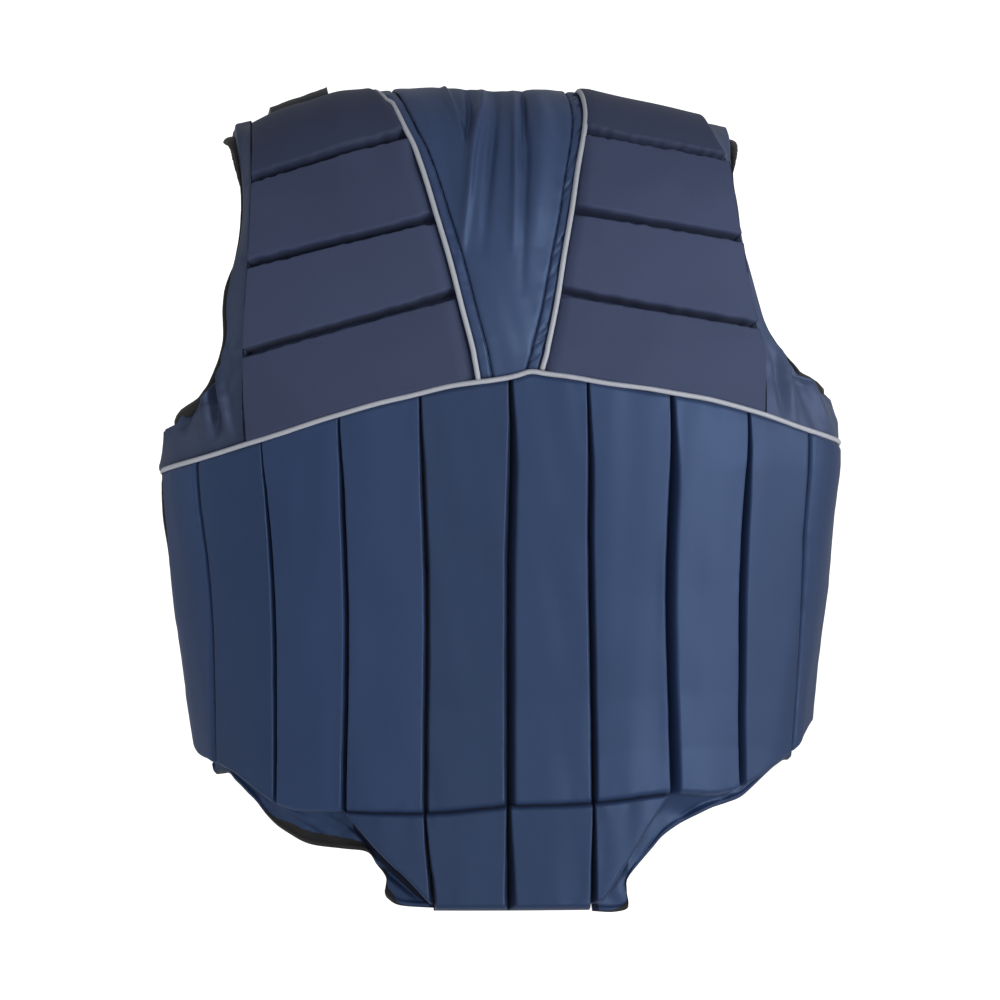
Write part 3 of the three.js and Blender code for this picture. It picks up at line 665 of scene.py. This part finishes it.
# share of the foam's height left at foot and top, and at the seams from the middle outward
BAR_ENDS = {"back": (0.68, 0.70), "tail": (0.45, 0.62), "front": (0.45, 0.50)}
SEAM_HIGH = {"left": (0.20, 0.36, 0.36, 0.36, 0.70, 0.45), "right": (0.20, 0.20, 0.20, 0.20, 0.70, 0.45)}
TAIL_SEAM_HIGH = ((0.16, 0.12), (0.12, 0.80))
FRONT_SLOPES = (4.0, 3.5)
OUTER_THIN = {"left": 1.6, "right": 4.9}
# the yoke bars' inner flank, low down on each side and then at the crest: breadth and height left
YOKE_NEAR = {"left": (15, 0.40), "right": (10, 0.50), "crest": (5, 0.82)}
# their outer flank at the crest: breadth and height left; below it is a narrow trench
YOKE_FAR = {"left": (38, 0.64), "right": (5, 0.74)}
YOKE_TRENCH = (0.2, 2.6, 0.50)
GROOVE_HIGH = 0.22
YOKE_BULGE, BULGE_AT, BULGE_WIDE = 2.8, -112, 17
TUCK_DEEP, TUCK_WIDE = 2.4, 2.0
LOOSE = {"left": 1.3, "right": 0.8}          # how strong the gussets' folds are
# painted shadow on the hem beside the outer tail bars' slanting edge: its breadth in millimetres along that
# edge, and the share of it kept on each side
HEM_SHADE = {"along": (0, 0.1, 0.55, 0.8, 1), "wide": (1.6, 4.4, 7.6, 6.0, 0)}
HEM_SHADE_SHARE = {"left": 1, "right": 0.4}
SIDE_BULK, SIDE_SHARE = 13.5, {"left": 1, "right": 0.3}
SIDE_UNDER = {"left": 0.02, "right": 0.075}  # radians that the mesh sides run under the gussets
BINDING_POINTS = 260
STITCH_IN = (10.0, 10.0)     # the V panel's inner stitch lines, in from the left and right piping
# half the breadth of the painted shade along those stitch lines
STITCH_SHADE_HALF = 0.34


def bar_height(sign, seed, seams, ends, slopes=FRONT_SLOPES, thin=0.0):
    """A padded bar. seams: height left at its near and far seams; ends: at its foot and top; slopes: the
    flanks' breadths on its left and right side; thin: how much lower its outer side is near the top."""
    flanks = [(slopes[0], True), (slopes[1], False)][::1 if sign > 0 else -1]

    def high(u, v, d, point):
        sway = 0.12 * ripple(0 * d["foot"], d["foot"], seed + 3, 40)
        slim = mix(0.5, 1, ease(0, 70, d["top"]))
        h = 1
        for edge, (flank, left), low in ((d["near"], flanks[0], seams[0]), (d["far"], flanks[1], seams[1])):
            if low > SHALLOW:
                h = h * rise(edge, 3.5, low)
            elif left:
                h = h * trench(edge + sway, 0.15 * flank * slim, flank * slim, low)
            else:
                h = h * rise(edge + sway, flank * slim, low)
        h = h * rise(d["foot"], BAR_END, ends[0]) * rise(d["top"], BAR_END, ends[1])
        edge, tip = np.minimum(d["near"], d["far"]), np.minimum(d["foot"], d["top"])
        slack = 0.30 * ripple(d["near"] * 2.2, d["foot"] * 0.6, seed, 60) * np.minimum(1, edge / 8)
        pucker = 0.22 * np.exp(-edge / 4) * ripple(d["near"] * 0.4, d["foot"], seed + 1, 15)
        gather = 0.30 * np.exp(-tip / 6) * ripple(d["near"], d["foot"] * 0.3, seed + 2, 11)
        sag = thin * ease(-326, -245, point[..., 2]) * ease(30, 0, d["far"])
        return FOAM * h - sag + slack + pucker + gather
    return high


def seam_shift(word, z, k):
    """The seams run slightly wavy."""
    return 0.0008 * np.sin(z / 31.0 + 1.7 * k + (0.6 if word == "left" else 0)) if 0 < k < 5 else 0 * z


def chevron_line(x):
    return np.where(x < 0, on_line(CHEVRON["left"], x), on_line(CHEVRON["right"], x))


def back_bar(word, sign, k):
    """An upright bar of the lower back, the k-th out from the middle."""
    lap = LAP / HALF_WIDTH

    def turns(z, u):
        return mix(seam_angle(word, k, z) + seam_shift(word, z, k) - lap,
                   seam_angle(word, k + 1, z) + seam_shift(word, z, k + 1) + lap, u)

    def at(u, v):
        ends = []
        for table, start in ((FEET[word], -0.8), (CHEVRON[word], -0.35)):
            z = np.full_like(u, start * HEIGHT)
            for _ in range(6):
                z = on_line(table, out_at(turns(z, u), z))
            ends.append(z)
        z = mix(ends[0] - LAP, ends[1] - LAP, v)
        return spot(trunk, sign * turns(z, u), z)

    number = 5 - k if sign < 0 else 6 + k
    slopes = (SLOPES["right"][number - 1], SLOPES["left"][number])
    thin = OUTER_THIN[word] if k == 4 else 0
    high = bar_height(sign, number, SEAM_HIGH[word][k:k + 2], BAR_ENDS["back"], slopes, thin)
    quilt(f"back_bar_{number}", at, high, satin(number), (52, 110))


def tail_bar(word, sign, k):
    """A short bar of the tail: the inner one is straight, and the outer one ends in a slanting edge."""
    lap = LAP / HALF_WIDTH

    def at(u, v):
        z = np.full_like(u, -0.88 * HEIGHT)
        for _ in range(4):
            far = angle_out(HALF_WIDTH * mix(*TAIL_EDGE[word], v), z) if k else seam_angle(word, 1, z)
            t = mix(seam_angle(word, k, z) - lap, far + lap, u)
            z = mix(-HEIGHT * TAIL_ENDS[k], on_line(FEET[word], out_at(t, z)) + LAP, v)
        return spot(trunk, sign * t, z)

    number = 2 - k if sign < 0 else 3 + k
    slopes = (SLOPES["right"][number + 2], SLOPES["left"][number + 3])
    high = bar_height(sign, 20 + number, TAIL_SEAM_HIGH[k], BAR_ENDS["tail"], slopes)
    quilt(f"tail_bar_{number}", at, high, satin(10 + number), (48, 44))


def yoke_bar(word, sign, k):
    """A bar over the shoulder blade. The first runs over the crest, and the last stands on the chevron."""
    first, last = k == 0, k == 3

    def at(u, v):
        x = HALF_WIDTH * mix(0.2, 0.75, u)
        for _ in range(7):
            low = angle_over(x, (on_line(CHEVRON[word], x) if last else yoke_line(word, k, x)) - LAP)
            top = lap_top(x) if first else angle_over(x, yoke_line(word, k - 1, x) + LAP)
            a = mix(low, top, v)
            x = mix(edge_over(word, "neck", a), edge_over(word, "side", a) + LAP, u)
        return spot(over, sign * x, a)

    def high(u, v, d, point):
        near, far, foot, top = (d[key] for key in ("near", "far", "foot", "top"))
        crest = ease(-30, 0, point[..., 2])
        flank = [mix(below, above, crest) for below, above in zip(YOKE_NEAR[word], YOKE_NEAR["crest"])]
        h = rise(near, *flank)
        wide, start = YOKE_FAR[word]
        corner = start + (1 - start) * np.sin(math.pi / 2 * np.clip(far / wide, 0, 1))
        h = h * mix(trench(far, *YOKE_TRENCH), corner, ease(-26, 2, point[..., 2]))
        flare = 1 + 0.8 * np.exp(-near / 12)
        sway = [0.4 * ripple(near, 0 * near, seed + 5 * k + sign, 9) * ease(0, 9, far)
                for seed in (30, 200)]
        if last:
            h = h * rise(foot, 4.5, 0.70)
        else:
            h = h * trench(foot + sway[0], 1.6 * flare, 3.0 * flare, GROOVE_HIGH)
        h = h * (rise(top, 4, 0.26) if first else trench(top + sway[1], 0.6, 2.2, GROOVE_HIGH))
        edge = top if last else np.minimum(foot, top)
        pucker = 0.35 * np.exp(-edge / 4) * ripple(near, foot * 0.3, 40 + k + 5 * sign, 10)
        side = 0.35 * np.exp(-np.minimum(near, far) / 5) * ripple(near * 0.3, foot, 45 + k, 14)
        bulge = YOKE_BULGE * np.exp(-((point[..., 0] - BULGE_AT) / BULGE_WIDE) ** 2) * crest
        slack = 0.3 * ripple(near, foot, 50 + k + 5 * sign, 55)
        return FOAM * h + bulge + slack + pucker + side

    # painted shade: a dark line along the bar's outer seam, 3 mm in from it on the right side's second and
    # third bars
    def painted_seam_shade(u, v, d, point):
        return (np.abs(d["far"] - 3.0) < 0.5) if sign > 0 and k in (1, 2) else d["far"] < 0.5

    quilt(f"yoke_{word}_bar_{k + 1}", at, high, matte(word, k), (84, 100 if first else 44),
          paint=((SHADOW, painted_seam_shade),))


def tape(word, key, a):
    """The armhole tape's row at an angle over the shoulder."""
    return look(BINDING, key, -height_at(edge_over(word, "arm", a), a) / HEIGHT)


def gusset(word, sign):
    """The shiny cloth from the yoke and the chevron to the armhole."""
    def at(u, v):
        x = HALF_WIDTH * mix(0.78, 0.96, u)
        for _ in range(7):
            a = mix(angle_over(x, on_line(CHEVRON[word], x) - LAP), lap_top(x), v)
            room = tape(word, "inset", a) * np.maximum(0, 1.35 * tape(word, word, a) - 1.0)
            x = mix(edge_over(word, "side", a) - LAP, edge_over(word, "arm", a) - room, u)
        return spot(over, sign * x, a)

    def high(u, v, d, point):
        edge = look(GUSSET_HIGH, "high", v, by="along")
        h = mix(np.maximum(13.0, edge), edge, ease(0, 1, u)) * rise(d["far"], 3.5, 0.15)
        h = h * rise(d["foot"], 3, 0.8)
        fine = (0.5 + ease(120, 30, d["foot"])) * 0.22 * ripple(d["near"], d["foot"] * 0.7, 70 + sign, 18)
        strip, tucks = ease(60, 100, d["foot"]) * ease(30, 6, d["near"]), 0
        for i in range(3):
            off = point[..., 2] - yoke_line(word, i, np.abs(point[..., 0]))
            tucks = tucks - TUCK_DEEP * np.exp(-(off / TUCK_WIDE) ** 2) * ease(9, 1, d["near"])
        loose = folds(GUSSET_FOLDS[word], point) * LOOSE[word]
        return h + loose * ease(0, 6, d["far"] + 1.5) + fine + strip * tucks

    # painted shade: a dark line along the gusset's inner seam, against the yoke
    def painted_seam_shade(u, v, d, point):
        return d["near"] < LAP + 0.9

    quilt(f"armhole_gusset_{word}", at, high, SHINY[word], (60, 190), paint=((SHADOW, painted_seam_shade),))


def neck_piping(word, sign):
    v = np.linspace(0, 1, 110)
    foot = angle_over(18.0, on_line(CHEVRON[word], 18.0) + 1.0)
    a = mix(foot, angle_over(NECK_HALF, CREST - 1.5) + 0.03, v)
    point, normal = spot(over, sign * (edge_over(word, "neck", a) + 0.35 * np.sin(9 * v + sign)), a)
    lift = PIPE_LIFT - 0.8 - 3.5 * ease(0.96, 1, v)
    tube(f"piping_neck_{word}", point + normal * lift[:, None], normal, PIPE, PIPE, GREY)


def hem_flange(word, sign):
    """The loose cloth edge below the bars, with black tape along part of it."""
    hem = HEM[word]

    def pick(key, v):
        return flow(hem, key, v * (len(hem["row"]) - 1), by="row")

    def at(u, v):
        z = -HEIGHT * mix(pick("down", v), pick("edge_down", v), u)
        t = angle_out(HALF_WIDTH * mix(pick("out", v), pick("edge_out", v), u), z)
        return spot(trunk, sign * np.minimum(SIDE_END, t), z)

    def high(u, v, d, point):
        roll = 1.5 * np.exp(-((d["far"] - 2.4) / 1.6) ** 2)
        tail = ease(0.52, 0.62, v)
        edge = CLOTH + 3.0 * ease(0.14, 0.04, v)
        fall = mix(mix(9.0, 0.6, tail), edge, ease(0, mix(0.8, 0.45, tail), u))
        slack = 0.35 * ripple(d["foot"], d["near"] * 0.5, 80 + sign, 24)
        return fall + roll + folds(HEM_FOLDS[word], point) + slack

    def shaded(u, v, d, point):
        """Where the hem gets a painted shadow, standing for the shade of the tail bar's slanting edge."""
        foot, top = (sign * HALF_WIDTH * out for out in TAIL_EDGE[word])
        x0, _, z0 = settle(foot, -100.0, -HEIGHT * TAIL_ENDS[1])
        x1, _, z1 = settle(top, -90.0, -HEIGHT * TAIL_TOP)
        along = np.clip((point[..., 2] - z0) / (z1 - z0), 0, 1)
        off = sign * (point[..., 0] - mix(x0, x1, along)) * math.cos(math.atan2(abs(x1 - x0), z1 - z0))
        wide = look(HEM_SHADE, "wide", along, by="along") * HEM_SHADE_SHARE[word]
        return (off < wide) & (v > 0.5)

    def taped(u, v, d, point):
        return d["far"] < pick("tape", v)

    quilt(f"hem_{word}", at, high, SATIN, (60, 220), crowd=0.2,
          paint=((TAPE, taped), (SHADOW, shaded)))


def side_panel(word, sign):
    """The mesh between back and front, with a swell behind the last bar of the back."""
    def at(u, v):
        z = -HEIGHT * mix(0.785, UNDERARM, v)
        under = 0.004 + SIDE_UNDER[word] * ease(-0.425 * HEIGHT, -0.415 * HEIGHT, z)
        return spot(trunk, sign * mix(seam_angle(word, 5, z) - under, FRONT_START + 0.002, u), z)

    def high(u, v, d, point):
        bulk = SIDE_BULK * ease(26, 0, d["near"]) * ease(0.2, 0.55, v) * ease(0.97, 0.92, v)
        slack = 0.6 * ripple(d["near"], d["foot"], 90 + sign, 40)
        return CLOTH + 1 + bulk * SIDE_SHARE[word] + slack

    quilt(f"side_panel_{word}", at, high, MESH, (40, 70))


def front_bar(word, sign, k):
    lap = LAP / HALF_WIDTH
    turn = [mix(FRONT_START, math.pi - ZIP_HALF, (k + i) / FRONT_BARS) for i in (0, 1)]

    def at(u, v):
        z = -HEIGHT * mix(FRONT_FOOT, FRONT_TOP, v) + LAP * v
        return spot(trunk, sign * mix(turn[0] - lap, turn[1] + lap, u), z)

    high = bar_height(-sign, 100 + k + 5 * sign, (0.2, 0.2), BAR_ENDS["front"])
    quilt(f"front_{word}_bar_{k + 1}", at, high, SATIN, (32, 60))


def front_yoke(word, sign):
    def at(u, v):
        x = HALF_WIDTH * mix(0.3, 0.8, u)
        for _ in range(7):
            a = math.pi - angle_over(x, -HEIGHT * mix(FRONT_TOP, FRONT_LAP, v) - LAP * (1 - 2 * v))
            x = mix(edge_over(word, "neck", a), edge_over(word, "arm", a) - BIND, u)
        return spot(over, sign * x, a)

    def high(u, v, d, point):
        h = rise(d["near"], 6) * rise(d["far"], 6) * rise(d["foot"], 6, 0.5) * rise(d["top"], 6, 0.5)
        return FOAM * h + 0.4 * ripple(d["near"], d["foot"], 110 + sign, 60)

    quilt(f"front_yoke_{word}", at, high, MATTE, (60, 60))


def shoulder_tab(word, sign):
    inner, outer, turned, lifts = TABS[word]

    def at(u, v):
        point, normal = spot(over, sign * HALF_WIDTH * mix(inner, outer, u), mix(turned, TAB_END, v))
        return point + normal * (FOAM - 2 + mix(*lifts, u))[..., None], normal

    def high(u, v, d, point):
        return TAB + 2 + 0.25 * ripple(d["near"], d["foot"], 5, 9)

    quilt(f"shoulder_tab_{word}", at, high, HOOK, (20, 40), inside=HOOK, base=-3.0)


def binding(word, sign):
    """The tape round an armhole: over the shoulder from underarm to underarm, then along the mesh side."""
    start = float(angle_over(HALF_WIDTH * 0.97, -(UNDERARM - 0.006) * HEIGHT))
    a = mix(start, math.pi - start, np.linspace(0, 1, BINDING_POINTS))
    behind = ease(1.55, 1.8, a)
    half, inset = mix(tape(word, word, a), BIND, behind), mix(tape(word, "inset", a), 0.6, behind)
    point, normal = spot(over, sign * (edge_over(word, "arm", a) + mix(0.8, -0.9, inset) * half), a)
    point = point + normal * mix(tape(word, "lift", a), BIND, behind)[:, None]
    w = np.linspace(0, 1, 41)[1:-1]
    turn = sign * mix(FRONT_START - 0.02, SIDE_END, w)
    low, low_normal = spot(trunk, turn, np.full_like(w, -UNDERARM * HEIGHT))
    low = low + low_normal * BIND
    step = np.arange(BINDING_POINTS)
    gather = 1 + 0.10 * np.sin(step * 1.05) * np.sin(step * 0.31 + 1)
    wide = np.concatenate([half * gather, np.full(len(w), BIND)])
    tall = np.concatenate([np.minimum(2.2, half + 0.4), np.full(len(w), 1.8)])
    tube(f"binding_{word}", np.concatenate([point, low]), np.concatenate([normal, low_normal]), wide, tall,
         TAPE, closed=True)


def v_panel():
    """The loose, folded panel between the neck pipings."""
    def at(u, v):
        x = 0 * u
        for _ in range(7):
            a = mix(angle_over(x, chevron_line(x) - LAP), flow(V_TOP, "turn", u, by="across"), v)
            x = mix(-edge_over("left", "neck", a), edge_over("right", "neck", a), u)
        return spot(over, x, a)

    def high(u, v, d, point):
        low = mix(0.62, 0.85, ease(30, 4, d["top"]))
        h = (FOAM - 3) * rise(d["near"], 4, low) * rise(d["far"], 4, low) * rise(d["foot"], 3.5, 0.78)
        h = h + 3.0 * np.sin(math.pi * u) ** 1.2 * ease(0, 30, d["foot"])
        h = h * rise(d["top"], 6, 0.8) + 1.35 * folds(V_FOLDS, point) * ease(-3, 16, d["top"])
        left, right = (d["near"], STITCH_IN[0], 120, 0.3), (d["far"], STITCH_IN[1], 121, 0.9)
        for edge, into, seed, loose in (left, right):
            groove = np.exp(-(edge - into) ** 2) + 0.3 * np.exp(-((edge - into) / 2.5) ** 2)
            strip = ease(into + 1, into - 2, edge) * ease(0, 2.5, edge)
            tuck = np.maximum(0, ripple(edge * 0.6, d["foot"] + 0.4 * edge, seed, 8) - 0.2)
            h = h - 1.7 * groove - strip * (0.7 + 1.6 * loose * tuck)
            inside = np.exp(-np.maximum(0, edge - into) / 6)
            h = h + 0.3 * inside * ripple(edge * 0.5, d["foot"], seed + 2, 20)
        return h + 0.25 * ripple(d["near"] * 2.0, d["foot"] * 0.35, 122, 40)

    # painted shade: dark lines along the two inner stitch lines
    def painted_seam_shade(u, v, d, point):
        off = (np.abs(d["near"] - STITCH_IN[0]), np.abs(d["far"] - STITCH_IN[1]))
        return (off[0] < STITCH_SHADE_HALF) | (off[1] < STITCH_SHADE_HALF)

    quilt("neck_panel", at, high, TAFFETA, (240, 190), crowd=0.2, paint=((SHADOW, painted_seam_shade),))


def chevron_piping():
    turn = np.linspace(-SIDE_END + 0.03, SIDE_END - 0.02, 340)
    z = np.full_like(turn, -0.35 * HEIGHT)
    for _ in range(6):
        x = out_at(turn, z)
        z = chevron_line(x)
    point, normal = spot(trunk, turn, z + 0.5 * ripple(x, 0 * x, 130, 60))
    lift = PIPE_LIFT - 5.5 * ease(1.22, 1.41, np.abs(turn))
    tube("piping_chevron", point + normal * lift[:, None], normal, PIPE, PIPE, GREY)


def front_zip():
    def at(u, v):
        turn = math.pi + mix(-1, 1, u) * (ZIP_HALF + 0.001)
        return spot(trunk, turn, -HEIGHT * mix(FRONT_FOOT, ZIP_TOP, v))

    def high(u, v, d, point):
        return 5 + 3 * np.exp(-((u - 0.5) / 0.18) ** 2) * (0.75 + 0.25 * np.sign(np.sin(d["foot"] * 2.2)))

    quilt("front_zip", at, high, PLASTIC, (16, 320), inside=TAPE, crowd=0.0)


for word, sign in (("left", -1), ("right", 1)):
    for k in range(5):
        back_bar(word, sign, k)
    for k in range(2):
        tail_bar(word, sign, k)
    for k in range(4):
        yoke_bar(word, sign, k)
    gusset(word, sign)
    neck_piping(word, sign)
    hem_flange(word, sign)
    side_panel(word, sign)
    for k in range(FRONT_BARS):
        front_bar(word, sign, k)
    front_yoke(word, sign)
    shoulder_tab(word, sign)
    binding(word, sign)
v_panel()
chevron_piping()
front_zip()

# Floor, backdrop, light and camera. The backdrop is hidden from reflections and from soft light, so the
# cloth is lit by the lamps, the world and the pale floor alone.
FLOOR, SWEEP, WALL, WALL_TOP = -0.66, 1.0, 3.4, 4.0
FLOOR_FROM, FLOOR_TO, STAGE_HALF = -7.0, 0.3, 9
PALE, DULL = (0.55, 0.55, 0.55), 0.9
WORLD_LIGHT = 0.30


def plain(name, colour, rough, glow):
    m = bpy.data.materials.new(name)
    m.use_nodes = True
    p = m.node_tree.nodes["Principled BSDF"]
    p.inputs["Base Color"].default_value = (*colour, 1)
    p.inputs["Roughness"].default_value = rough
    p.inputs["Specular IOR Level"].default_value = 0.1
    p.inputs["Emission Color"].default_value = (1, 1, 1, 1)
    p.inputs["Emission Strength"].default_value = glow
    return m


bend = [(WALL - SWEEP + SWEEP * math.sin(t), FLOOR + SWEEP - SWEEP * math.cos(t))
        for t in np.linspace(0, math.pi / 2, 25)]
STAGE = {
    "backdrop": {"line": [(FLOOR_TO, FLOOR)] + bend + [(WALL, WALL_TOP)], "glow": 1.0},
    "floor": {"line": [(FLOOR_FROM, FLOOR), (FLOOR_TO, FLOOR)], "glow": 0.60},
}
for name, part in STAGE.items():
    sweep = bpy.data.meshes.new(name)
    sweep.from_pydata([(x, y, z) for y, z in part["line"] for x in (-STAGE_HALF, STAGE_HALF)], [],
                      [(2 * i, 2 * i + 1, 2 * i + 3, 2 * i + 2) for i in range(len(part["line"]) - 1)])
    sweep.polygons.foreach_set("use_smooth", [True] * len(sweep.polygons))
    sweep.materials.append(plain(name, PALE, DULL, part["glow"]))
    stage = bpy.data.objects.new(name, sweep)
    bpy.context.scene.collection.objects.link(stage)
    stage.visible_glossy = False
    stage.visible_diffuse = name == "floor"

world = bpy.data.worlds.new("studio")
bpy.context.scene.world = world
world.use_nodes = True
world.node_tree.nodes["Background"].inputs["Color"].default_value = (1, 1, 1, 1)
world.node_tree.nodes["Background"].inputs["Strength"].default_value = WORLD_LIGHT
bpy.context.scene.view_settings.view_transform = "Standard"


def light(name, place, target, size, watts):
    data = bpy.data.lights.new(name, "AREA")
    data.shape, data.size, data.energy = "DISK", size, watts
    lamp = bpy.data.objects.new(name, data)
    lamp.location = place
    lamp.rotation_euler = (Vector(target) - Vector(place)).to_track_quat("-Z", "Y").to_euler()
    bpy.context.scene.collection.objects.link(lamp)


LIGHTS = {
    "key": {"place": (1.85, -2.36, -0.10), "size": 0.7, "watts": 23},
    "right": {"place": (2.9, -0.9, 0.0), "size": 0.9, "watts": 14},
    "left": {"place": (-2.7, -0.5, 0.0), "size": 0.9, "watts": 3},
    "front": {"place": (-0.4, -3.3, -0.15), "size": 0.9, "watts": 6},
}
LIT_POINT = (0, 0, -0.25)
for name, lamp in LIGHTS.items():
    light(name, lamp["place"], LIT_POINT, lamp["size"], lamp["watts"])

CAMERA_DISTANCE, CAMERA_HEIGHT, CAMERA_TURN = 2.6, -0.250, math.radians(2.4)
FOCAL_PIXELS, IMAGE_PIXELS, SENSOR = 3628, 1000, 36.0
eye = Vector((-CAMERA_DISTANCE * math.sin(CAMERA_TURN), -CAMERA_DISTANCE * math.cos(CAMERA_TURN),
              CAMERA_HEIGHT))
camera = bpy.data.objects.new("camera", bpy.data.cameras.new("camera"))
camera.data.sensor_width = SENSOR
camera.data.lens = SENSOR * FOCAL_PIXELS / IMAGE_PIXELS
camera.data.clip_start, camera.data.clip_end = 0.05, 50
camera.location = eye
camera.rotation_euler = (Vector((0, 0, CAMERA_HEIGHT)) - eye).to_track_quat("-Z", "Y").to_euler()
bpy.context.scene.collection.objects.link(camera)
bpy.context.scene.camera = camera
